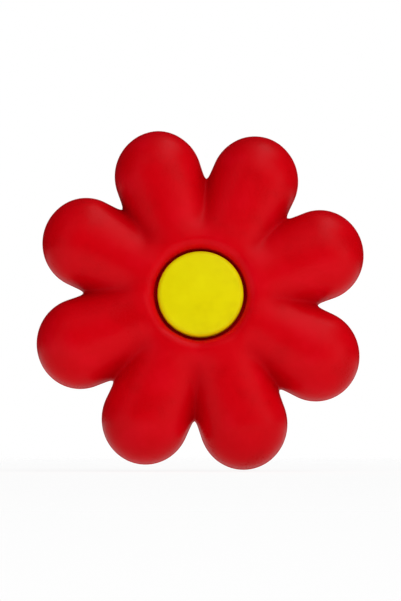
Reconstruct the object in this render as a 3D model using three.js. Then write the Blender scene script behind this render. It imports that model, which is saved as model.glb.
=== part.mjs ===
// Flower-faced vibration dampener for racket strings: three moulded elastomer pieces.
//
//   flower_face    eight-petal face, domed in front, flat behind with a round pocket
//   centre_button  plug with a round head, a stem and a barbed end
//   string_clip    spool that sits between two strings: front flange, flat-sided neck, rear flange
//
// The plug's stem runs through the face and the clip, and its barb locks in the clip's rear
// counterbore. The face and the plug can turn about the stem; the clip's neck can't turn
// between the strings.
//
// Frame, millimetres: +Z up, +X to the right seen from the front, the face looks along -Y.
// The origin is the centre of the bounding box, on the stem's axis.

import * as THREE from "three";

// ---- face outline -----------------------------------------------------------
const PETALS = 8;
const LOBE_U = 11.78; // axis to the middle of a petal's round end
const LOBE_R = 4.01; // round end of a petal, seen from the front
const ROOT_W = 3.1; // petal half width at its root
const ROOT_U = 3.0; // where that width is reached, along the petal
const VALLEY = 0.32; // softness of the crease where two petals meet
const ACROSS = 0.991; // the outline is slightly oval: narrower across than the petals' circle
const UPRIGHT = 1.036; // and taller. The middle stays round, because it turns on the clip
const FACE_TURN_DEG = 2.9; // the face sits this far clockwise from square with the strings

// ---- face section -----------------------------------------------------------
const CROWN = 3.85; // height of a petal's crown over the mould's parting line
const CROWN_POWER = 2.15; // 2 is an ellipse; more is flatter on top with rounder shoulders
const CROWN_FALL = 0.3; // how much lower a crown is at its ends than at its middle
const WALL = 1.2; // edge wall from the parting line to the back face
const WALL_DRAFT = 0.1; // how far the wall leans in towards the back
const BACK_ROUND = 0.35; // round at the back edge
const COLLAR_R = 5.2; // crest of the collar that joins the petals round the centre button
const COLLAR_W = 2.9; // its half width
const COLLAR_H = 3.72; // its height over the parting line
const RECESS_R = 4.2; // seat for the button's head
const RECESS_ROUND = 1.0; // rounded lip of that seat
const MEMBRANE = 1.55; // web between the seat and the rear pocket
const EYE_R = 2.0; // hole for the stem through that web
const POCKET_R = 8.5; // rear pocket that takes the clip's front flange
const POCKET_DEPTH = 1.7;

// ---- clip, measured from the string plane -----------------------------------
const STRING_D = 1.25; // the main strings it takes
const CHANNEL = 1.7; // width of a string channel at its floor
const FLARE = 0.35; // how far each channel wall leans out at the rim
const NECK_HALF = 5.5; // axis to the flat floor of a channel
const NECK_CORNER_DEG = 33.75; // where a flat meets the round of the neck
const NECK_FILLET = 0.2; // chamfer in the corners of a channel's floor
const FRONT_FLANGE_R = 8.2;
const FRONT_FLANGE_T = 1.8;
const REAR_FLANGE_R = 8.5;
const REAR_FLANGE_T = 2.6;
const BORE_R = 1.9;
const COUNTER_R = 3.0;
const COUNTER_DEPTH = 1.8;

// ---- plug ---------------------------------------------------------------------
const HEAD_R = 3.9;
const HEAD_T = 2.0;
const HEAD_DOME = 0.28; // rise of the head from its edge to its middle
const HEAD_ROUND = 0.5;
const STEM_R = 1.8;
const BARB_R = 2.7;
const GAP = 0.1; // running gap between two pieces that turn on one another
const SINK = 0.2; // the stem's end stays this far inside the back face

// ---- stations along Y, string plane at zero, front negative -------------------
const flangeBack = -CHANNEL / 2; // rear side of the clip's front flange
const flangeFront = flangeBack - FRONT_FLANGE_T;
const faceBack = flangeBack - 0.2;
const pocketFloor = faceBack - POCKET_DEPTH;
const parting = faceBack - WALL;
const seat = pocketFloor - MEMBRANE;
const headUnder = seat - GAP;
const headTop = headUnder - HEAD_T;
const rearFront = CHANNEL / 2;
const rearBack = rearFront + REAR_FLANGE_T;
const counterFloor = rearBack - COUNTER_DEPTH;
const shift = -(headTop + rearBack) / 2; // puts the middle of the bounding box at the origin

const TAU = Math.PI * 2;
const HALF = Math.PI / PETALS;

// ---- the face's shape ----------------------------------------------------------
// How far a point is outside (+) or inside (-) one petal, at a place along the petal (u),
// across it (s) and over the parting line (h). The petal is a tapered capsule.
function petalField(u, s, h) {
  let share;
  if (u >= LOBE_U) share = Math.hypot(u - LOBE_U, s) / LOBE_R;
  else {
    const k = Math.min(1, (LOBE_U - u) / (LOBE_U - ROOT_U));
    share = Math.abs(s) / (LOBE_R - (LOBE_R - ROOT_W) * Math.pow(k, 1.5));
  }
  const middle = (Math.min(Math.max(u, 0), 16) - 8) / 8;
  const rise = h / (CROWN - CROWN_FALL * middle * middle);
  const whole = Math.pow(
    Math.pow(share, CROWN_POWER) + Math.pow(rise, CROWN_POWER),
    1 / CROWN_POWER,
  );
  return LOBE_R * (whole - 1);
}

// The same for the collar.
function collarField(r, h) {
  const whole = Math.hypot((r - COLLAR_R) / COLLAR_W, h / COLLAR_H);
  return COLLAR_W * (whole - 1);
}

// Petals and collar as one body, with a soft crease between neighbours.
function faceField(u, s, h) {
  const r = Math.hypot(u, s),
    a = Math.atan2(s, u);
  const near = 2 * HALF;
  const fields = [
    petalField(u, s, h),
    petalField(r * Math.cos(a - near), r * Math.sin(a - near), h),
    petalField(r * Math.cos(a + near), r * Math.sin(a + near), h),
    collarField(r, h),
  ];
  const least = Math.min(...fields);
  let sum = 0;
  for (const f of fields) sum += Math.exp((least - f) / VALLEY);
  return least - VALLEY * Math.log(sum);
}

// Where a value that rises along a line passes zero.
function crossing(valueAt, from, to) {
  for (let i = 0; i < 44; i++) {
    const mid = (from + to) / 2;
    if (valueAt(mid) < 0) from = mid;
    else to = mid;
  }
  return (from + to) / 2;
}

const crownHeight = (u, s) => crossing((h) => faceField(u, s, h), 0, 6);

// Lines that fan out over half a petal, from the button's seat to the edge. The first runs
// along the crown to the tip and the last along the crease to the notch.
const EDGE_FAN = [0, 0.14, 0.28, 0.41, 0.53, 0.64, 0.74, 0.83, 0.9, 0.955, 1];
const SEAT_FAN = [0, 0.13, 0.26, 0.38, 0.5, 0.61, 0.71, 0.8, 0.88, 0.94, 1];

function halfPetal() {
  const [c, d] = [Math.cos(HALF), Math.sin(HALF)];
  const notchR = crossing((r) => faceField(r * c, r * d, 0), 7, 15);
  const last = Math.atan2(notchR * d, notchR * c - LOBE_U);
  return EDGE_FAN.map((f, k) => {
    const a = last * f;
    const lean = Math.sin(a) - (Math.cos(a) * d) / c; // how fast the ray nears the crease
    const reach = lean > 0 ? Math.min(5, (LOBE_U * d) / c / lean) : 5;
    const r = crossing(
      (t) => faceField(LOBE_U + t * Math.cos(a), t * Math.sin(a), 0),
      1,
      reach,
    );
    const edge =
      k === EDGE_FAN.length - 1
        ? [notchR * c, notchR * d]
        : [LOBE_U + r * Math.cos(a), r * Math.sin(a)];
    // outward direction of the edge
    const e = 1e-4;
    let nu = faceField(edge[0] + e, edge[1], 0) - faceField(edge[0] - e, edge[1], 0);
    let ns = faceField(edge[0], edge[1] + e, 0) - faceField(edge[0], edge[1] - e, 0);
    const n = Math.hypot(nu, ns);
    return { edge, out: [nu / n, ns / n], inner: HALF * SEAT_FAN[k] };
  });
}

// Points along one line from the seat's lip to the edge, evenly spaced over the surface.
function crownLine(line, fromR, fractions) {
  const u0 = fromR * Math.cos(line.inner),
    s0 = fromR * Math.sin(line.inner);
  const [du, ds] = [line.edge[0] - u0, line.edge[1] - s0];
  const at = (t) => {
    const [u, s] = [u0 + du * t, s0 + ds * t];
    return [u, s, t >= 1 ? 0 : crownHeight(u, s)];
  };
  const samples = [];
  let length = 0;
  for (let i = 0; i <= 160; i++) {
    const x = i / 160;
    const p = at(1 - Math.pow(1 - x, 2.2));
    if (i > 0) {
      const q = samples[i - 1].p;
      length += Math.hypot(p[0] - q[0], p[1] - q[1], p[2] - q[2]);
    }
    samples.push({ p, length });
  }
  return fractions.map((f) => {
    const want = f * length;
    let i = 1;
    while (i < 160 && samples[i].length < want) i++;
    const [a, b] = [samples[i - 1], samples[i]];
    const m = (want - a.length) / (b.length - a.length);
    return a.p.map((v, k) => v + (b.p[k] - v) * m);
  });
}

// All the way round, the half petal and its mirror image for every petal.
function faceLines() {
  const half = halfPetal();
  const steps = half.length - 1;
  const lines = [];
  for (let p = 0; p < PETALS; p++)
    for (let k = -steps; k < steps; k++) {
      const h = half[Math.abs(k)];
      const sign = k < 0 ? -1 : 1;
      lines.push({
        turn: HALF * (2 * p + 1),
        sign,
        k: Math.abs(k),
        edge: [h.edge[0], sign * h.edge[1]],
        out: [h.out[0], sign * h.out[1]],
        inner: sign * h.inner,
      });
    }
  return lines;
}

// Petal coordinates to the part's x and z: a turn of 0 points up, and turns run clockwise from
// the front. The oval grows from nothing at roundTo to its full share at the notches.
const place = (turn, u, s, roundTo = 6.5) => {
  const a = turn + (FACE_TURN_DEG * Math.PI) / 180;
  const x = u * Math.sin(a) + s * Math.cos(a);
  const z = u * Math.cos(a) - s * Math.sin(a);
  const t = Math.min(1, Math.max(0, (Math.hypot(u, s) - roundTo) / (10.6 - roundTo)));
  const oval = t * t * (3 - 2 * t);
  return [x * (1 + (ACROSS - 1) * oval), z * (1 + (UPRIGHT - 1) * oval)];
};

// Closes a stack of rings, each the same number of points, into one ring-shaped solid.
function solidFromRings(rings) {
  const n = rings[0].length,
    m = rings.length;
  const position = new Float32Array(n * m * 3);
  rings.forEach((ring, j) =>
    ring.forEach((p, i) => position.set(p, (j * n + i) * 3)),
  );
  const apart = (a, b) =>
    Math.hypot(
      position[a * 3] - position[b * 3],
      position[a * 3 + 1] - position[b * 3 + 1],
      position[a * 3 + 2] - position[b * 3 + 2],
    );
  const index = [];
  for (let j = 0; j < m; j++)
    for (let i = 0; i < n; i++) {
      const a = j * n + i,
        b = j * n + ((i + 1) % n),
        c = ((j + 1) % m) * n + ((i + 1) % n),
        d = ((j + 1) % m) * n + i;
      if (apart(a, c) <= apart(b, d) + 1e-5) index.push(a, b, c, a, c, d);
      else index.push(a, b, d, b, c, d);
    }
  const g = new THREE.BufferGeometry();
  g.setAttribute("position", new THREE.BufferAttribute(position, 3));
  g.setIndex(index);
  g.computeVertexNormals();
  return g;
}

function flowerGeometry() {
  const lines = faceLines();
  const put = (l, u, s, y) => {
    const [x, z] = place(l.turn, u, s);
    return [x, y, z];
  };
  const circle = (r, y) =>
    lines.map((l) => {
      const [x, z] = place(l.turn, r * Math.cos(l.inner), r * Math.sin(l.inner), 9);
      return [x, y, z];
    });
  const outline = (inset, y) =>
    lines.map((l) =>
      put(l, l.edge[0] - inset * l.out[0], l.edge[1] - inset * l.out[1], y),
    );
  const lip = RECESS_R + RECESS_ROUND;
  const rings = [];
  rings.push(circle(EYE_R, pocketFloor));
  rings.push(circle(EYE_R, seat));
  rings.push(circle(RECESS_R, seat));
  // the seat's wall and its rounded lip
  for (const a of [0, 25, 50, 70, 90]) {
    const t = (a * Math.PI) / 180;
    const r = RECESS_R + RECESS_ROUND * (1 - Math.cos(t));
    rings.push(
      lines.map((l) => {
        const [u, s] = [Math.cos(l.inner), Math.sin(l.inner)];
        const h = crownHeight(lip * u, lip * s) - RECESS_ROUND * (1 - Math.sin(t));
        return put(l, r * u, r * s, parting - h);
      }),
    );
  }
  // the crowned front, from the lip out to the edge
  const fractions = [0.08, 0.17, 0.27, 0.37, 0.47, 0.57, 0.67, 0.76, 0.84, 0.91, 0.96];
  const runs = new Map();
  for (const l of lines)
    if (!runs.has(l.k))
      runs.set(
        l.k,
        crownLine(
          { edge: [l.edge[0], Math.abs(l.edge[1])], inner: Math.abs(l.inner) },
          lip,
          fractions,
        ),
      );
  fractions.forEach((_, j) =>
    rings.push(
      lines.map((l) => {
        const [u, s, h] = runs.get(l.k)[j];
        return put(l, u, l.sign * s, parting - h);
      }),
    ),
  );
  // the edge wall and the flat back
  rings.push(outline(0, parting));
  rings.push(outline(WALL_DRAFT, faceBack - BACK_ROUND));
  rings.push(outline(WALL_DRAFT + 0.3 * BACK_ROUND, faceBack - 0.3 * BACK_ROUND));
  rings.push(outline(WALL_DRAFT + BACK_ROUND, faceBack));
  rings.push(circle(POCKET_R, faceBack));
  rings.push(circle(POCKET_R, pocketFloor));
  return solidFromRings(rings);
}

// Points on a quarter round, as [radius, y], from one angle to another about (cr, cy).
function round(cr, cy, r, fromDeg, toDeg, steps) {
  return [...Array(steps + 1).keys()].map((i) => {
    const t = ((fromDeg + ((toDeg - fromDeg) * i) / steps) * Math.PI) / 180;
    return [cr + r * Math.cos(t), cy + r * Math.sin(t)];
  });
}

function clipGeometry() {
  const N = 96;
  const angles = [...Array(N).keys()].map((i) => (TAU * i) / N);
  const corner = (NECK_CORNER_DEG * Math.PI) / 180;
  // the neck is round with a flat on each side; grow is measured square to its surface
  const neck = (a, grow) =>
    Math.min(
      NECK_HALF / Math.cos(corner) + grow,
      (NECK_HALF + grow) / Math.abs(Math.cos(a) || 1e-9),
    );
  const seatR = NECK_HALF + STRING_D + 0.45; // the flanges flare outside this radius
  const F = FRONT_FLANGE_R,
    R = REAR_FLANGE_R;
  // stations from the bore's front mouth round the outside to its rear end; the ones with a
  // third value follow the neck
  const stations = [
    [BORE_R, flangeFront],
    ...round(F - 0.35, flangeFront + 0.35, 0.35, -90, 0, 3),
    ...round(F - 0.2, flangeBack - FLARE - 0.2, 0.2, 0, 70, 2),
    [seatR, flangeBack],
    [0, flangeBack, NECK_FILLET],
    [0, flangeBack + NECK_FILLET, 0],
    [0, rearFront - NECK_FILLET, 0],
    [0, rearFront, NECK_FILLET],
    [seatR, rearFront],
    ...round(R - 0.3, rearFront + FLARE + 0.3, 0.3, -70, 0, 2),
    ...round(R - 0.9, rearBack - 0.9, 0.9, 0, 90, 4),
    [COUNTER_R + 0.15, rearBack],
    [COUNTER_R, rearBack - 0.15],
    [COUNTER_R, counterFloor],
    [BORE_R, counterFloor],
  ];
  const rings = stations.map(([r, y, grow]) =>
    angles.map((a) => {
      const q = grow === undefined ? r : neck(a, grow);
      return [q * Math.cos(a), y, q * Math.sin(a)];
    }),
  );
  return solidFromRings(rings.reverse());
}

function plugGeometry() {
  const end = rearBack - SINK;
  const shoulder = counterFloor + GAP;
  const flat = HEAD_R - HEAD_ROUND;
  const profile = [
    [0, headTop],
    ...[0.3, 0.55, 0.78].map((k) => [k * flat, headTop + HEAD_DOME * k * k]),
    ...round(flat, headTop + HEAD_DOME + HEAD_ROUND, HEAD_ROUND, -90, 0, 5),
    ...round(HEAD_R - 0.2, headUnder - 0.2, 0.2, 0, 90, 2),
    [STEM_R, headUnder],
    [STEM_R, shoulder],
    [BARB_R - 0.1, shoulder],
    [BARB_R, shoulder + 0.1],
    [BARB_R, shoulder + 0.35],
    [1.65, end - 0.35],
    [1.45, end - 0.1],
    [1.2, end],
    [0, end],
  ];
  return new THREE.LatheGeometry(
    profile.map(([r, y]) => new THREE.Vector2(r, y)),
    64,
  );
}

const rubber = (name, colour, roughness) => {
  const m = new THREE.MeshStandardMaterial({ color: colour, roughness, metalness: 0 });
  m.name = name;
  return m;
};
const petalRed = rubber("petal_silicone", 0xc80010, 0.5);
const buttonYellow = rubber("button_silicone", 0xe2d400, 0.55);
const clipRed = rubber("clip_silicone", 0xb8000e, 0.55);

const dampener = new THREE.Group();
dampener.name = "vibration_dampener";
dampener.position.y = shift;

const clip = new THREE.Mesh(clipGeometry(), clipRed);
clip.name = "string_clip";
dampener.add(clip);

const onStem = new THREE.Group(); // everything that turns about the stem
dampener.add(onStem);

const face = new THREE.Mesh(flowerGeometry(), petalRed);
face.name = "flower_face";
onStem.add(face);

const button = new THREE.Mesh(plugGeometry(), buttonYellow);
button.name = "centre_button";
onStem.add(button);

export default dampener;
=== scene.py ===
import math

import bpy
import numpy as np
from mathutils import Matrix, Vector


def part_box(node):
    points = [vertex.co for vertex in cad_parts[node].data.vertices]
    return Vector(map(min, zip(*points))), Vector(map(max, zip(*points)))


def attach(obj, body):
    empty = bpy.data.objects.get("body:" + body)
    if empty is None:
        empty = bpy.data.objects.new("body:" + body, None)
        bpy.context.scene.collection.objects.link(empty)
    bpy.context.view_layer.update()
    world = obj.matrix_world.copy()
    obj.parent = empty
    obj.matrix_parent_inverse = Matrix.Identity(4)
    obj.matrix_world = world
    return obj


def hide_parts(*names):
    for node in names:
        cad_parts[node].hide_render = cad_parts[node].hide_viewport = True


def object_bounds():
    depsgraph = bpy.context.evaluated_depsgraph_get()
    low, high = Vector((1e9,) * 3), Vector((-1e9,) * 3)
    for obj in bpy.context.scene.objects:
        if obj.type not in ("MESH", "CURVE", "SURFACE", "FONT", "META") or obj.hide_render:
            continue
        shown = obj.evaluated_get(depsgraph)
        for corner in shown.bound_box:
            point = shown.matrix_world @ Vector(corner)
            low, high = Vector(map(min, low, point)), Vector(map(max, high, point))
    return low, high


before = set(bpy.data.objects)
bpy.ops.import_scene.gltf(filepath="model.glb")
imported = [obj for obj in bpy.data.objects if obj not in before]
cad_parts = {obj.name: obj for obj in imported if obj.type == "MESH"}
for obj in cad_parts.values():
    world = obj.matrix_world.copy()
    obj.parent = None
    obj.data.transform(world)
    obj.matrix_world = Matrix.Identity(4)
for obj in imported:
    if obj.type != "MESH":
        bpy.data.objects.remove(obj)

cad_lo, cad_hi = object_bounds()

# ---------------------------------------------------------------------------------------------
# Sizes, in millimetres. Stations along Y come from the CAD nodes' boxes.
# ---------------------------------------------------------------------------------------------
MM = 0.001
PETALS = 8
HALF = math.pi / PETALS
LOBE_U, LOBE_R = 11.78, 4.01
ROOT_W, ROOT_U = 3.1, 3.0
VALLEY = 0.32
ACROSS, UPRIGHT = 0.991, 1.036  # the outline is slightly oval, the middle is round
TURN = math.radians(2.9)
CROWN, CROWN_POWER, CROWN_FALL = 3.85, 2.15, 0.3
COLLAR_R, COLLAR_W, COLLAR_H = 5.2, 2.9, 3.72
WALL, WALL_DRAFT, BACK_ROUND = 1.2, 0.1, 0.35
RECESS_R, RECESS_ROUND = 4.2, 1.0
MEMBRANE, EYE_R = 1.55, 2.0
POCKET_R, POCKET_DEPTH = 8.5, 1.7

STRING_D, CHANNEL, FLARE = 1.25, 1.7, 0.35
NECK_HALF, NECK_CORNER = 5.5, math.radians(33.75)
FRONT_R, REAR_R = 8.2, 8.5
BORE_R, COUNTER_R, COUNTER_DEPTH = 1.9, 3.0, 1.8

HEAD_R, HEAD_T, HEAD_DOME, HEAD_ROUND = 3.9, 2.0, 0.28, 0.5
STEM_R, BARB_R, GAP = 1.8, 2.7, 0.1

flo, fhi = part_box("flower_face")
clo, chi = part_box("string_clip")
plo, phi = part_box("centre_button")
face_back = fhi.y / MM
flange_front = clo.y / MM
rear_back = chi.y / MM
head_top = plo.y / MM
plug_end = phi.y / MM
flange_back = flange_front + 1.8
rear_front = flange_back + CHANNEL
pocket_floor = face_back - POCKET_DEPTH
parting = face_back - WALL
seat = pocket_floor - MEMBRANE
head_under = head_top + HEAD_T
counter_floor = rear_back - COUNTER_DEPTH


# ---------------------------------------------------------------------------------------------
# The petal face as one soft body, the same shape as the CAD face, at a much finer pitch.
# ---------------------------------------------------------------------------------------------
def petal_field(u, s, h):
    k = np.clip((LOBE_U - u) / (LOBE_U - ROOT_U), 0.0, 1.0)
    share = np.where(
        u >= LOBE_U,
        np.hypot(u - LOBE_U, s) / LOBE_R,
        np.abs(s) / (LOBE_R - (LOBE_R - ROOT_W) * k**1.5),
    )
    middle = (np.clip(u, 0, 16) - 8) / 8
    rise = h / (CROWN - CROWN_FALL * middle * middle)
    whole = (share**CROWN_POWER + np.maximum(rise, 0) ** CROWN_POWER) ** (1 / CROWN_POWER)
    return LOBE_R * (whole - 1)


def face_field(u, s, h):
    r = np.hypot(u, s)
    a = np.arctan2(s, u)
    f = [petal_field(u, s, h)]
    for t in (-2 * HALF, 2 * HALF):
        f.append(petal_field(r * np.cos(a + t), r * np.sin(a + t), h))
    f.append(COLLAR_W * (np.hypot((r - COLLAR_R) / COLLAR_W, h / COLLAR_H) - 1))
    f = np.stack(np.broadcast_arrays(*f))
    least = f.min(0)
    return least - VALLEY * np.log(np.exp((least - f) / VALLEY).sum(0))


def crossing(value_at, lo, hi, steps=40):
    lo = np.array(lo, float)
    hi = np.array(hi, float)
    for _ in range(steps):
        mid = (lo + hi) / 2
        inside = value_at(mid) < 0
        lo = np.where(inside, mid, lo)
        hi = np.where(inside, hi, mid)
    return (lo + hi) / 2


def crown_height(u, s):
    u, s = np.asarray(u, float), np.asarray(s, float)
    return crossing(lambda h: face_field(u, s, h), np.zeros_like(u), np.full_like(u, 6.0))


def fan(n, ease):
    """0 to 1 in n steps, closer together towards 1."""
    x = np.linspace(0, 1, n + 1)
    return ease * x + (1 - ease) * (1 - (1 - x) ** 1.8)


def half_petal(n):
    c, d = math.cos(HALF), math.sin(HALF)
    notch = float(crossing(lambda r: face_field(r * c, r * d, 0.0), 7.0, 15.0))
    last = math.atan2(notch * d, notch * c - LOBE_U)
    a = last * fan(n, 0.55)
    lean = np.sin(a) - np.cos(a) * d / c  # how fast the ray nears the crease
    reach = np.where(lean > 0.05, np.minimum(5.0, LOBE_U * d / c / np.maximum(lean, 0.05)), 5.0)
    r = crossing(
        lambda t: face_field(LOBE_U + t * np.cos(a), t * np.sin(a), 0.0 * a),
        np.full_like(a, 1.0),
        reach,
    )
    eu, es = LOBE_U + r * np.cos(a), r * np.sin(a)
    eu[-1], es[-1] = notch * c, notch * d
    e = 1e-4
    nu = face_field(eu + e, es, 0 * a) - face_field(eu - e, es, 0 * a)
    ns = face_field(eu, es + e, 0 * a) - face_field(eu, es - e, 0 * a)
    n_ = np.hypot(nu, ns)
    return eu, es, nu / n_, ns / n_, HALF * fan(n, 0.7)


def crown_rows(eu, es, inner, lip, rows):
    """Rows of points from the lip to the edge, evenly spaced over the surface."""
    x = np.linspace(0, 1, 401)
    t = 1 - (1 - x) ** 2.2
    u0, s0 = lip * np.cos(inner), lip * np.sin(inner)
    u = u0[:, None] + (eu - u0)[:, None] * t
    s = s0[:, None] + (es - s0)[:, None] * t
    h = crown_height(u, s)
    h[:, -1] = 0
    step = np.sqrt(np.diff(u, axis=1) ** 2 + np.diff(s, axis=1) ** 2 + np.diff(h, axis=1) ** 2)
    length = np.concatenate([np.zeros((len(eu), 1)), np.cumsum(step, 1)], 1)
    want = np.linspace(0, 1, rows + 2)[1:-1]
    U, S, H = (np.empty((rows, len(eu))) for _ in range(3))
    for k in range(len(eu)):
        w = want * length[k, -1]
        U[:, k] = np.interp(w, length[k], u[k])
        S[:, k] = np.interp(w, length[k], s[k])
    H = crown_height(U, S)
    return U, S, H


def value_noise(p, cell, seed):
    """Smooth repeatable noise in -1..1 at points p (n, 3), with features of about cell."""
    q = p / cell + 1000.0
    i = np.floor(q).astype(np.int64)
    f = q - i
    f = f * f * (3 - 2 * f)

    def rnd(ix, iy, iz):
        n = (ix * 73856093) ^ (iy * 19349663) ^ (iz * 83492791) ^ (seed * 2654435761)
        n = (n ^ (n >> 13)) * 1274126177
        n = n ^ (n >> 16)
        return (n & 0xFFFF) / 32767.5 - 1

    out = np.zeros(len(p))
    for dx in (0, 1):
        for dy in (0, 1):
            for dz in (0, 1):
                w = (
                    (f[:, 0] if dx else 1 - f[:, 0])
                    * (f[:, 1] if dy else 1 - f[:, 1])
                    * (f[:, 2] if dz else 1 - f[:, 2])
                )
                out += w * rnd(i[:, 0] + dx, i[:, 1] + dy, i[:, 2] + dz)
    return out


def ring_solid(name, rings, wrap=True, cap=None):
    """rings: (m, n, 3) in mm. Joined ring to ring, and the last to the first when wrap is True.
    Otherwise the two ends are closed on the axis."""
    m, n = len(rings), len(rings[0])
    co = np.concatenate(rings).reshape(-1, 3) * MM
    verts = co
    faces = []
    i = np.arange(n)
    k = (i + 1) % n
    last = m if wrap else m - 1
    for j in range(last):
        a, b = j * n, ((j + 1) % m) * n
        faces.append(np.stack([a + i, a + k, b + k, b + i], 1))
    faces = np.concatenate(faces).tolist()
    if not wrap:
        ends = np.array([[0, rings[0][0][1], 0], [0, rings[-1][0][1], 0]]) * MM
        verts = np.concatenate([co, ends])
        A, B = m * n, m * n + 1
        faces += [[A, int(x), int(y)] for x, y in zip(k, i)]
        faces += [[B, (m - 1) * n + int(x), (m - 1) * n + int(y)] for x, y in zip(i, k)]
    me = bpy.data.meshes.new(name)
    me.from_pydata(verts.tolist(), [], faces)
    me.validate()
    me.update()
    # outward faces
    import bmesh

    bm = bmesh.new()
    bm.from_mesh(me)
    bmesh.ops.recalc_face_normals(bm, faces=bm.faces)
    if bm.calc_volume(signed=True) < 0:
        bmesh.ops.reverse_faces(bm, faces=bm.faces)
    bm.to_mesh(me)
    bm.free()
    me.polygons.foreach_set("use_smooth", [True] * len(me.polygons))
    ob = bpy.data.objects.new(name, me)
    bpy.context.scene.collection.objects.link(ob)
    return ob


def arc(cr, cy, r, a0, a1, n):
    a = np.radians(np.linspace(a0, a1, n + 1))
    return [(cr + r * math.cos(t), cy + r * math.sin(t)) for t in a]


def make_flower():
    n = 32
    eu, es, nu, ns, inner = half_petal(n)
    lip = RECESS_R + RECESS_ROUND
    U, S, H = crown_rows(eu, es, inner, lip, 104)

    # the order round the flower: each petal's mirrored half, then its half
    order = [(-1, k) for k in range(n, 0, -1)] + [(1, k) for k in range(n)]
    sign = np.array([o[0] for o in order] * PETALS, float)
    idx = np.array([o[1] for o in order] * PETALS)
    turn = np.repeat([HALF * (2 * p + 1) for p in range(PETALS)], len(order)) + TURN

    def put(u, s, y, round_to=6.5):
        x = u * np.sin(turn) + s * np.cos(turn)
        z = u * np.cos(turn) - s * np.sin(turn)
        t = np.clip((np.hypot(u, s) - round_to) / (10.6 - round_to), 0, 1)
        oval = t * t * (3 - 2 * t)
        x = x * (1 + (ACROSS - 1) * oval)
        z = z * (1 + (UPRIGHT - 1) * oval)
        return np.stack([x, np.broadcast_to(y, x.shape), z], 1)

    ang = inner[idx] * sign

    def circle(r, y):
        return put(r * np.cos(ang), r * np.sin(ang), y, 9.0)

    EU, ES = eu[idx], es[idx] * sign
    NU, NS = nu[idx], ns[idx] * sign

    def outline(inset, y):
        return put(EU - inset * NU, ES - inset * NS, y)

    rings = []
    # the eye for the stem, edges lightly rounded
    for r, y in arc(EYE_R + 0.15, pocket_floor - 0.15, 0.15, 90, 180, 3):
        rings.append(circle(r, y))
    for r, y in arc(EYE_R + 0.15, seat + 0.15, 0.15, 180, 270, 3):
        rings.append(circle(r, y))
    rings.append(circle(EYE_R + 0.3, seat))
    rings.append(circle(RECESS_R - 0.3, seat))
    for r, y in arc(RECESS_R - 0.15, seat - 0.15, 0.15, 90, 0, 3):
        rings.append(circle(r, y))
    # the seat's wall and its rounded lip
    lip_h = crown_height(lip * np.cos(inner), lip * np.sin(inner))[idx]
    rings.append(circle(RECESS_R, parting - lip_h + RECESS_ROUND + 0.35))
    for t in np.radians(np.linspace(0, 90, 13)):
        r = RECESS_R + RECESS_ROUND * (1 - math.cos(t))
        rings.append(circle(r, parting - lip_h + RECESS_ROUND * (1 - math.sin(t))))
    for j in range(len(U)):
        rings.append(put(U[j][idx], S[j][idx] * sign, parting - H[j][idx]))
    # edge: a fine flash line where the mould halves met, then the wall and the flat back
    rings.append(outline(0.0, parting - 0.07))
    rings.append(outline(-0.05, parting - 0.03))
    rings.append(outline(-0.05, parting + 0.03))
    rings.append(outline(0.01, parting + 0.07))
    for y in np.linspace(parting + 0.16, face_back - BACK_ROUND, 6):
        k = (y - parting) / (face_back - BACK_ROUND - parting)
        rings.append(outline(WALL_DRAFT * k, y))
    for t in np.radians(np.linspace(0, 90, 8))[1:]:
        rings.append(
            outline(
                WALL_DRAFT + BACK_ROUND * (1 - math.cos(t)),
                face_back - BACK_ROUND * (1 - math.sin(t)),
            )
        )
    rings.append(outline(WALL_DRAFT + BACK_ROUND + 0.08, face_back))
    # flat back, in steps
    edge = outline(WALL_DRAFT + BACK_ROUND + 0.08, face_back)
    inner_ring = circle(POCKET_R + 0.3, face_back)
    for k in (0.12, 0.3, 0.5, 0.7, 0.88, 1.0):
        rings.append(edge * (1 - k) + inner_ring * k)
    for r, y in arc(POCKET_R + 0.2, face_back - 0.2, 0.2, 90, 180, 4):
        rings.append(circle(r, y))
    for r, y in arc(POCKET_R - 0.2, pocket_floor + 0.2, 0.2, 0, -90, 4):
        rings.append(circle(r, y))
    rings.append(circle(POCKET_R - 0.5, pocket_floor))
    rings.append(circle(EYE_R + 0.5, pocket_floor))

    ob = ring_solid("petal_face", rings)
    # soft silicone isn't dead true: a slow wander of a few hundredths of a millimetre on the
    # crowned front, none near the running surfaces
    me = ob.data
    co = np.empty(len(me.vertices) * 3)
    me.vertices.foreach_get("co", co)
    co = co.reshape(-1, 3) / MM
    no = np.empty(len(me.vertices) * 3)
    me.vertices.foreach_get("normal", no)
    no = no.reshape(-1, 3)
    r = np.hypot(co[:, 0], co[:, 2])
    front = np.clip((parting + 0.3 - co[:, 1]) / 1.2, 0, 1) * np.clip((r - 5.0) / 1.5, 0, 1)
    wander = 0.035 * value_noise(co, 3.4, 11) + 0.012 * value_noise(co, 1.3, 12)
    co += no * (wander * front)[:, None]
    me.vertices.foreach_set("co", (co * MM).ravel())
    me.update()
    # painted shade: how deep in a crease a point is; there the red is painted darker and its specular
    # turned down, standing in for the shade in the creases
    a = np.arctan2(co[:, 0], co[:, 2]) - TURN
    off = (a + HALF) % (2 * HALF) - HALF  # from the nearest crease
    deep = np.exp(-((r * off / (0.45 + 0.045 * r)) ** 2)) * front
    deep *= np.clip((r - 5.6) / 4.2, 0, 1) ** 0.8
    deep *= np.clip((12.6 - r) / 1.2, 0, 1)
    at = me.attributes.new("painted_crease_shade", "FLOAT", "POINT")
    at.data.foreach_set("value", deep.astype(np.float32))
    return ob


def uneven_angles(n, special, width):
    """n even angles plus a few close ones round each special angle."""
    a = list(np.linspace(0, 2 * math.pi, n, endpoint=False))
    for s in special:
        a = [x for x in a if abs((x - s + math.pi) % (2 * math.pi) - math.pi) > width * 3.2]
        a += [s + width * k for k in (-3, -2, -1.2, -0.5, 0, 0.5, 1.2, 2, 3)]
    return np.array(sorted(x % (2 * math.pi) for x in a))


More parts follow.
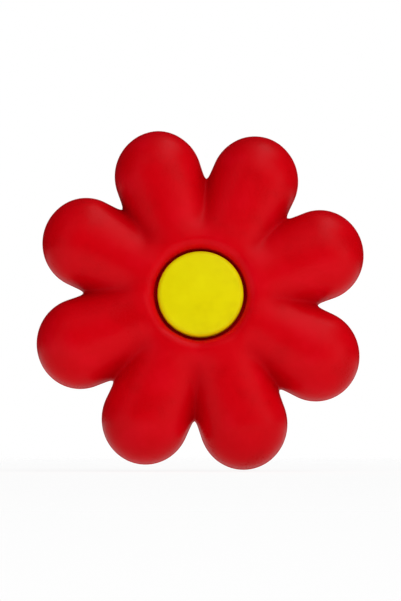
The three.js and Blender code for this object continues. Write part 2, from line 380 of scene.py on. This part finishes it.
def make_clip():
    ang = uneven_angles(224, (math.pi / 2, 3 * math.pi / 2), 0.008)
    neck_round = NECK_HALF / math.cos(NECK_CORNER)
    seat_r = NECK_HALF + STRING_D + 0.45

    def neck(grow):
        flat = (NECK_HALF + grow) / np.maximum(np.abs(np.cos(ang)), 1e-9)
        round_ = np.full_like(ang, neck_round + grow)
        k = 0.05
        return -k * np.log(np.exp(-flat / k) + np.exp(-round_ / k))

    def ring(r, y):
        return np.stack([r * np.cos(ang), np.full_like(ang, y), r * np.sin(ang)], 1)

    seam = 0.05 * np.exp(-((np.cos(ang) / 0.012) ** 2))
    F, R = FRONT_R, REAR_R
    rings = []

    def add(points, with_seam=0.0):
        for r, y in points:
            rings.append(ring(r + with_seam * seam, y))

    add(arc(BORE_R + 0.2, flange_front + 0.2, 0.2, 180, 270, 4))
    add([(BORE_R + 0.35, flange_front), (F - 0.45, flange_front)])
    add(arc(F - 0.35, flange_front + 0.35, 0.35, -90, 0, 8), 1.0)
    add(arc(F - 0.2, flange_back - FLARE - 0.2, 0.2, 0, 72, 6), 1.0)
    add([(seat_r + 0.25, flange_back - 0.09), (seat_r, flange_back)])
    f = 0.24
    rings.append(ring(neck(f + 0.12), flange_back))
    for t in np.radians(np.linspace(0, 90, 7)):
        rings.append(ring(neck(f * (1 - math.sin(t))), flange_back + f * (1 - math.cos(t))))
    rings.append(ring(neck(0.0), (flange_back + rear_front) / 2))
    for t in np.radians(np.linspace(90, 0, 7)):
        rings.append(ring(neck(f * (1 - math.sin(t))), rear_front - f * (1 - math.cos(t))))
    rings.append(ring(neck(f + 0.12), rear_front))
    add([(seat_r, rear_front), (seat_r + 0.25, rear_front + 0.07)])
    add(arc(R - 0.3, rear_front + FLARE + 0.3, 0.3, -72, 0, 8), 1.0)
    add(arc(R - 0.9, rear_back - 0.9, 0.9, 0, 90, 14), 1.0)
    # the flat rear face
    for r in np.linspace(R - 1.0, COUNTER_R + 0.45, 14):
        rings.append(ring(r, rear_back))
    add(arc(COUNTER_R + 0.25, rear_back - 0.25, 0.25, 90, 180, 6))
    add(arc(COUNTER_R - 0.15, counter_floor + 0.15, 0.15, 0, -90, 4))
    add([(COUNTER_R - 0.3, counter_floor), (BORE_R + 0.3, counter_floor)])
    add(arc(BORE_R + 0.12, counter_floor - 0.12, 0.12, 90, 180, 3))
    ob = ring_solid("string_spool", rings)
    # gate mark: a shallow round dimple on the rear face
    me = ob.data
    co = np.empty(len(me.vertices) * 3)
    me.vertices.foreach_get("co", co)
    co = co.reshape(-1, 3) / MM
    rear = co[:, 1] > rear_back - 0.01
    d = np.hypot(co[:, 0] - 0.0, co[:, 2] - 5.6)
    dimple = np.where(rear, -0.16 * np.exp(-((d / 0.75) ** 4)), 0)
    wander = 0.02 * value_noise(co, 3.0, 31)
    r = np.hypot(co[:, 0], co[:, 2])
    outside = np.clip((r - 3.6) / 0.8, 0, 1) * np.clip((co[:, 1] - (rear_front + 0.4)) / 0.6, 0, 1)
    co[:, 1] += dimple + wander * outside
    me.vertices.foreach_set("co", (co * MM).ravel())
    me.update()
    return ob


def make_plug():
    n = 192
    ang = np.linspace(0, 2 * math.pi, n, endpoint=False)
    shoulder = counter_floor + GAP
    flat = HEAD_R - HEAD_ROUND
    prof = []
    for k in np.linspace(0.06, 0.97, 16):
        prof.append((k * flat, head_top + HEAD_DOME * k * k))
    # rounded shoulder of the head, tangent to the dome
    prof += arc(flat, head_top + HEAD_DOME + HEAD_ROUND, HEAD_ROUND, -86, 0, 12)
    prof.append((HEAD_R, head_under - 0.4))
    prof += arc(HEAD_R - 0.2, head_under - 0.2, 0.2, 0, 90, 5)
    prof += [(HEAD_R - 0.35, head_under), (STEM_R + 0.25, head_under)]
    prof += arc(STEM_R + 0.12, head_under + 0.12, 0.12, -90, -180, 3)
    prof += [(STEM_R, shoulder - 0.8)]
    prof += arc(STEM_R + 0.1, shoulder - 0.1, 0.1, 180, 90, 3)
    prof += [(BARB_R - 0.15, shoulder)]
    prof += arc(BARB_R - 0.1, shoulder + 0.1, 0.1, -90, 0, 4)
    prof += [(BARB_R, shoulder + 0.3)]
    prof += [(BARB_R - 0.04, shoulder + 0.42), (1.72, plug_end - 0.42), (1.62, plug_end - 0.3)]
    prof += [(1.5, plug_end - 0.14), (1.34, plug_end - 0.04), (1.15, plug_end)]
    prof += [(0.75, plug_end), (0.62, plug_end - 0.1), (0.45, plug_end - 0.12)]
    prof += [(0.3, plug_end - 0.1), (0.22, plug_end - 0.02), (0.1, plug_end)]
    rings = [
        np.stack([r * np.cos(ang), np.full_like(ang, y), r * np.sin(ang)], 1) for r, y in prof
    ]
    ob = ring_solid("button_plug", rings, wrap=False)
    me = ob.data
    co = np.empty(len(me.vertices) * 3)
    me.vertices.foreach_get("co", co)
    co = co.reshape(-1, 3) / MM
    r = np.hypot(co[:, 0], co[:, 2])
    face = (co[:, 1] < head_top + 0.6) * np.clip((HEAD_R - 0.2 - r) / 1.0, 0, 1)
    co[:, 1] += 0.02 * value_noise(co, 1.9, 21) * face
    me.vertices.foreach_set("co", (co * MM).ravel())
    me.update()
    return ob


flower = make_flower()
clip = make_clip()
plug = make_plug()

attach(flower, "flower")
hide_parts("flower_face")
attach(clip, "clip")
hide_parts("string_clip")
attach(plug, "plug")
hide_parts("centre_button")


# ---------------------------------------------------------------------------------------------
# Materials
# ---------------------------------------------------------------------------------------------
def silicone(
    name, base, deep, light, rough, sss, spec, grain=1.0, seed=0.0, painted_crease_shade=0.0, tint=(1, 1, 1)
):
    """Matte moulded silicone: slow mottling in the pigment, a fine spark-eroded mould grain, a
    few polished and a few dusty spots, and a little light through the surface."""
    mat = bpy.data.materials.new(name)
    mat.use_nodes = True
    nt = mat.node_tree
    nt.nodes.clear()
    N = nt.nodes.new
    L = nt.links.new
    out = N("ShaderNodeOutputMaterial")
    bsdf = N("ShaderNodeBsdfPrincipled")
    L(bsdf.outputs[0], out.inputs[0])
    tc = N("ShaderNodeTexCoord")
    mp = N("ShaderNodeMapping")
    mp.inputs["Location"].default_value = (seed, seed * 0.7, -seed)
    L(tc.outputs["Object"], mp.inputs["Vector"])
    P = mp.outputs["Vector"]

    def noise(scale, detail=2.0, roughness=0.5):
        t = N("ShaderNodeTexNoise")
        t.inputs["Scale"].default_value = scale
        t.inputs["Detail"].default_value = detail
        t.inputs["Roughness"].default_value = roughness
        L(P, t.inputs["Vector"])
        return t.outputs["Fac"]

    def ramp(src, stops):
        r = N("ShaderNodeValToRGB")
        r.color_ramp.interpolation = "EASE"
        e = r.color_ramp.elements
        while len(e) < len(stops):
            e.new(0.5)
        for el, (p, c) in zip(e, stops):
            el.position = p
            el.color = (*c, 1.0) if len(c) == 3 else c
        L(src, r.inputs["Fac"])
        return r.outputs["Color"]

    def math_(op, a, b=None, c=None):
        m = N("ShaderNodeMath")
        m.operation = op
        for i, v in enumerate((a, b, c)):
            if v is None:
                continue
            if isinstance(v, (int, float)):
                m.inputs[i].default_value = v
            else:
                L(v, m.inputs[i])
        return m.outputs[0]

    def mix(fac, a, b, mode="MIX"):
        m = N("ShaderNodeMix")
        m.data_type = "RGBA"
        m.blend_type = mode
        for sock, v in ((m.inputs["Factor"], fac), (m.inputs[6], a), (m.inputs[7], b)):
            if isinstance(v, (int, float)):
                sock.default_value = v
            elif isinstance(v, tuple):
                sock.default_value = (*v, 1.0)
            else:
                L(v, sock)
        return m.outputs[2]

    slow = noise(260.0, 3.0, 0.55)  # about 4 mm
    mid = noise(1100.0, 2.0, 0.6)  # about 1 mm
    fine = noise(5200.0, 2.0, 0.6)  # about 0.2 mm
    col = ramp(slow, [(0.32, deep), (0.5, base), (0.7, light)])
    col = mix(math_("MULTIPLY", math_("SUBTRACT", mid, 0.5), 0.22), col, deep)
    speck = math_("GREATER_THAN", fine, 0.71)
    col = mix(math_("MULTIPLY", speck, 0.10), col, light)
    bsdf.inputs["Specular IOR Level"].default_value = spec
    # painted shade: in the creases the base colour is mixed towards a darker red and the specular
    # lowered, following the crease mask
    if painted_crease_shade:
        at = N("ShaderNodeAttribute")
        at.attribute_name = "painted_crease_shade"
        crease_shade_colour = tuple(c * 0.45 for c in base)
        col = mix(math_("MULTIPLY", at.outputs["Fac"], painted_crease_shade), col, crease_shade_colour)
        crease_shade_spec = math_("MULTIPLY_ADD", at.outputs["Fac"], -0.75 * spec, spec)
        L(crease_shade_spec, bsdf.inputs["Specular IOR Level"])
    L(col, bsdf.inputs["Base Color"])

    r1 = math_("MULTIPLY_ADD", math_("SUBTRACT", slow, 0.5), 0.16, rough)
    r2 = math_("MULTIPLY_ADD", math_("SUBTRACT", fine, 0.5), 0.18, r1)
    L(r2, bsdf.inputs["Roughness"])

    b1 = N("ShaderNodeBump")
    b1.inputs["Strength"].default_value = 0.35 * grain
    b1.inputs["Distance"].default_value = 0.00006
    L(fine, b1.inputs["Height"])
    b2 = N("ShaderNodeBump")
    b2.inputs["Strength"].default_value = 0.30 * grain
    b2.inputs["Distance"].default_value = 0.00014
    L(mid, b2.inputs["Height"])
    L(b1.outputs[0], b2.inputs["Normal"])
    L(b2.outputs[0], bsdf.inputs["Normal"])

    bsdf.inputs["IOR"].default_value = 1.43
    bsdf.inputs["Subsurface Weight"].default_value = sss
    bsdf.inputs["Subsurface Radius"].default_value = (1.0, 0.35, 0.2)
    bsdf.inputs["Subsurface Scale"].default_value = 0.0007
    bsdf.inputs["Sheen Weight"].default_value = 0.0
    bsdf.inputs["Specular Tint"].default_value = (*tint, 1.0)
    return mat


red = silicone(
    "petal_silicone",
    base=(0.730, 0.0, 0.0045),
    deep=(0.670, 0.0, 0.0035),
    light=(0.770, 0.0008, 0.0075),
    rough=0.31,
    sss=0.06,
    spec=0.12,
    grain=0.55,
    # strength of the painted shade in the creases
    painted_crease_shade=0.46,
    tint=(1.0, 0.62, 0.68),
)
clip_red = silicone(
    "clip_silicone",
    base=(0.640, 0.0015, 0.0035),
    deep=(0.560, 0.0010, 0.0025),
    light=(0.700, 0.0030, 0.0060),
    rough=0.44,
    sss=0.08,
    spec=0.26,
    grain=0.9,
    seed=0.31,
)
yellow = silicone(
    "button_silicone",
    base=(0.900, 0.775, 0.0004),
    deep=(0.830, 0.700, 0.0003),
    light=(0.935, 0.815, 0.0012),
    rough=0.40,
    sss=0.08,
    spec=0.08,
    grain=0.7,
    seed=0.57,
)
for ob, m in ((flower, red), (clip, clip_red), (plug, yellow)):
    ob.data.materials.clear()
    ob.data.materials.append(m)


# ---------------------------------------------------------------------------------------------
# Stage: pale floor, bright soft surroundings, dark side towards the camera
# ---------------------------------------------------------------------------------------------
scene = bpy.context.scene
ELEV = math.radians(-8.4)
DIST = 0.260
SLOPE = math.radians(5.5)

me = bpy.data.meshes.new("floor")
nr, na = 24, 96
verts, faces = [(0.0, 0.0, 0.0)], []
for j in range(1, nr + 1):
    r = 1.2 * (j / nr) ** 2
    for i in range(na):
        a = 2 * math.pi * i / na
        verts.append((r * math.cos(a), r * math.sin(a), 0.0))
for i in range(na):
    faces.append((0, 1 + i, 1 + (i + 1) % na))
for j in range(nr - 1):
    for i in range(na):
        a, b = 1 + j * na + i, 1 + j * na + (i + 1) % na
        faces.append((a, a + na, b + na, b))
me.from_pydata(verts, [], faces)
me.update()
floor = bpy.data.objects.new("floor", me)
scene.collection.objects.link(floor)
floor.rotation_euler = (SLOPE, 0, 0)
floor.location = (0, 0.0005, cad_lo.z - 0.0001)

mat = bpy.data.materials.new("floor")
mat.use_nodes = True
nt = mat.node_tree
nt.nodes.clear()
out = nt.nodes.new("ShaderNodeOutputMaterial")
dif = nt.nodes.new("ShaderNodeBsdfDiffuse")
dif.inputs["Color"].default_value = (0.16, 0.16, 0.16, 1)
emi = nt.nodes.new("ShaderNodeEmission")
emi.inputs["Color"].default_value = (1, 1, 1, 1)
tc = nt.nodes.new("ShaderNodeTexCoord")
# It glows. In front of the object it gives more light than the camera sees.
sy = nt.nodes.new("ShaderNodeSeparateXYZ")
nt.links.new(tc.outputs["Object"], sy.inputs[0])
fr = nt.nodes.new("ShaderNodeMapRange")
fr.interpolation_type = "SMOOTHSTEP"
fr.inputs["From Min"].default_value = 0.004
fr.inputs["From Max"].default_value = -0.030
fr.inputs["To Min"].default_value = 0.50
fr.inputs["To Max"].default_value = 1.09
nt.links.new(sy.outputs["Y"], fr.inputs["Value"])
lpf = nt.nodes.new("ShaderNodeLightPath")
gl = nt.nodes.new("ShaderNodeMix")
gl.data_type = "FLOAT"
gl.inputs[3].default_value = 0.885
nt.links.new(lpf.outputs["Is Camera Ray"], gl.inputs[0])
nt.links.new(fr.outputs[0], gl.inputs[2])
nt.links.new(gl.outputs[0], emi.inputs["Strength"])
add = nt.nodes.new("ShaderNodeAddShader")
nt.links.new(dif.outputs[0], add.inputs[0])
nt.links.new(emi.outputs[0], add.inputs[1])
tr = nt.nodes.new("ShaderNodeBsdfTransparent")
mixs = nt.nodes.new("ShaderNodeMixShader")
ln = nt.nodes.new("ShaderNodeVectorMath")
ln.operation = "LENGTH"
nt.links.new(tc.outputs["Object"], ln.inputs[0])
mr = nt.nodes.new("ShaderNodeMapRange")
mr.interpolation_type = "SMOOTHSTEP"
mr.inputs["From Min"].default_value = 0.05
mr.inputs["From Max"].default_value = 0.32
nt.links.new(ln.outputs["Value"], mr.inputs["Value"])
nt.links.new(mr.outputs[0], mixs.inputs["Fac"])
nt.links.new(add.outputs[0], mixs.inputs[1])
nt.links.new(tr.outputs[0], mixs.inputs[2])
nt.links.new(mixs.outputs[0], out.inputs[0])
floor.data.materials.append(mat)

world = bpy.data.worlds.new("surroundings")
scene.world = world
world.use_nodes = True
nt = world.node_tree
nt.nodes.clear()
N, L = nt.nodes.new, nt.links.new
out = N("ShaderNodeOutputWorld")
tc = N("ShaderNodeTexCoord")
# the studio is set out round the camera, so that every view is lit the same way
vt = N("ShaderNodeVectorTransform")
vt.vector_type = "VECTOR"
vt.convert_from = "WORLD"
vt.convert_to = "CAMERA"
L(tc.outputs["Generated"], vt.inputs[0])


def wmath(op, a, b=None, c=None):
    m = N("ShaderNodeMath")
    m.operation = op
    for i, v in enumerate((a, b, c)):
        if v is None:
            continue
        if isinstance(v, (int, float)):
            m.inputs[i].default_value = v
        else:
            L(v, m.inputs[i])
    return m.outputs[0]


# Soft lamps round the camera: how far from the camera's direction, how far round clockwise from
# the top, how bright, and how tight (9 is about 45 degrees across, 30 about 25).
LAMPS = [
    (58, 45, 0.52, 9),
    (56, 92, 1.25, 9),
    (58, 140, 0.70, 9),
    (60, 240, 0.08, 9),
    (62, 0, 0.34, 9),
    (92, 5, 0.30, 9),
    # a strip above and small lamps at the sides give the sheen at the petals' ends and flanks
    (40, 16, 2.8, 30),
    (64, 18, 6.2, 30),
    (90, 20, 6.2, 30),
    (54, 278, 2.4, 30),
    (62, 82, 3.4, 30),
    (50, 46, 3.0, 30),
    (54, 322, 2.0, 30),
]
LEVEL = 0.507
level = 0.02
for angle, clock, bright, tight in LAMPS:
    t, c = math.radians(angle), math.radians(clock)
    dot = N("ShaderNodeVectorMath")
    dot.operation = "DOT_PRODUCT"
    dot.inputs[1].default_value = (math.sin(t) * math.sin(c), math.sin(t) * math.cos(c), -math.cos(t))
    L(vt.outputs[0], dot.inputs[0])
    lobe = wmath("EXPONENT", wmath("MULTIPLY_ADD", dot.outputs["Value"], tight, -tight))
    level = wmath("MULTIPLY_ADD", lobe, bright * LEVEL, level)
light_bg = N("ShaderNodeBackground")
L(level, light_bg.inputs["Strength"])
see_bg = N("ShaderNodeBackground")
see_bg.inputs["Color"].default_value = (1, 1, 1, 1)
see_bg.inputs["Strength"].default_value = 1.0
lp = N("ShaderNodeLightPath")
ms = N("ShaderNodeMixShader")
L(lp.outputs["Is Camera Ray"], ms.inputs["Fac"])
L(light_bg.outputs[0], ms.inputs[1])
L(see_bg.outputs[0], ms.inputs[2])
L(ms.outputs[0], out.inputs[0])

cam = bpy.data.cameras.new("camera")
cam.sensor_width = 36.0
cam.lens = 169.0
cam.clip_start = 0.001
cam_ob = bpy.data.objects.new("camera", cam)
scene.collection.objects.link(cam_ob)
aim = Vector((0.0, 0.0, 0.0))
cam_ob.location = aim + Vector((0, -DIST * math.cos(ELEV), DIST * math.sin(ELEV)))
cam_ob.rotation_euler = (aim - cam_ob.location).to_track_quat("-Z", "Y").to_euler()
scene.camera = cam_ob

scene.view_settings.view_transform = "Standard"
scene.view_settings.look = "None"
scene.view_settings.exposure = 0.0
scene.view_settings.gamma = 1.0
scene.cycles.use_denoising = True
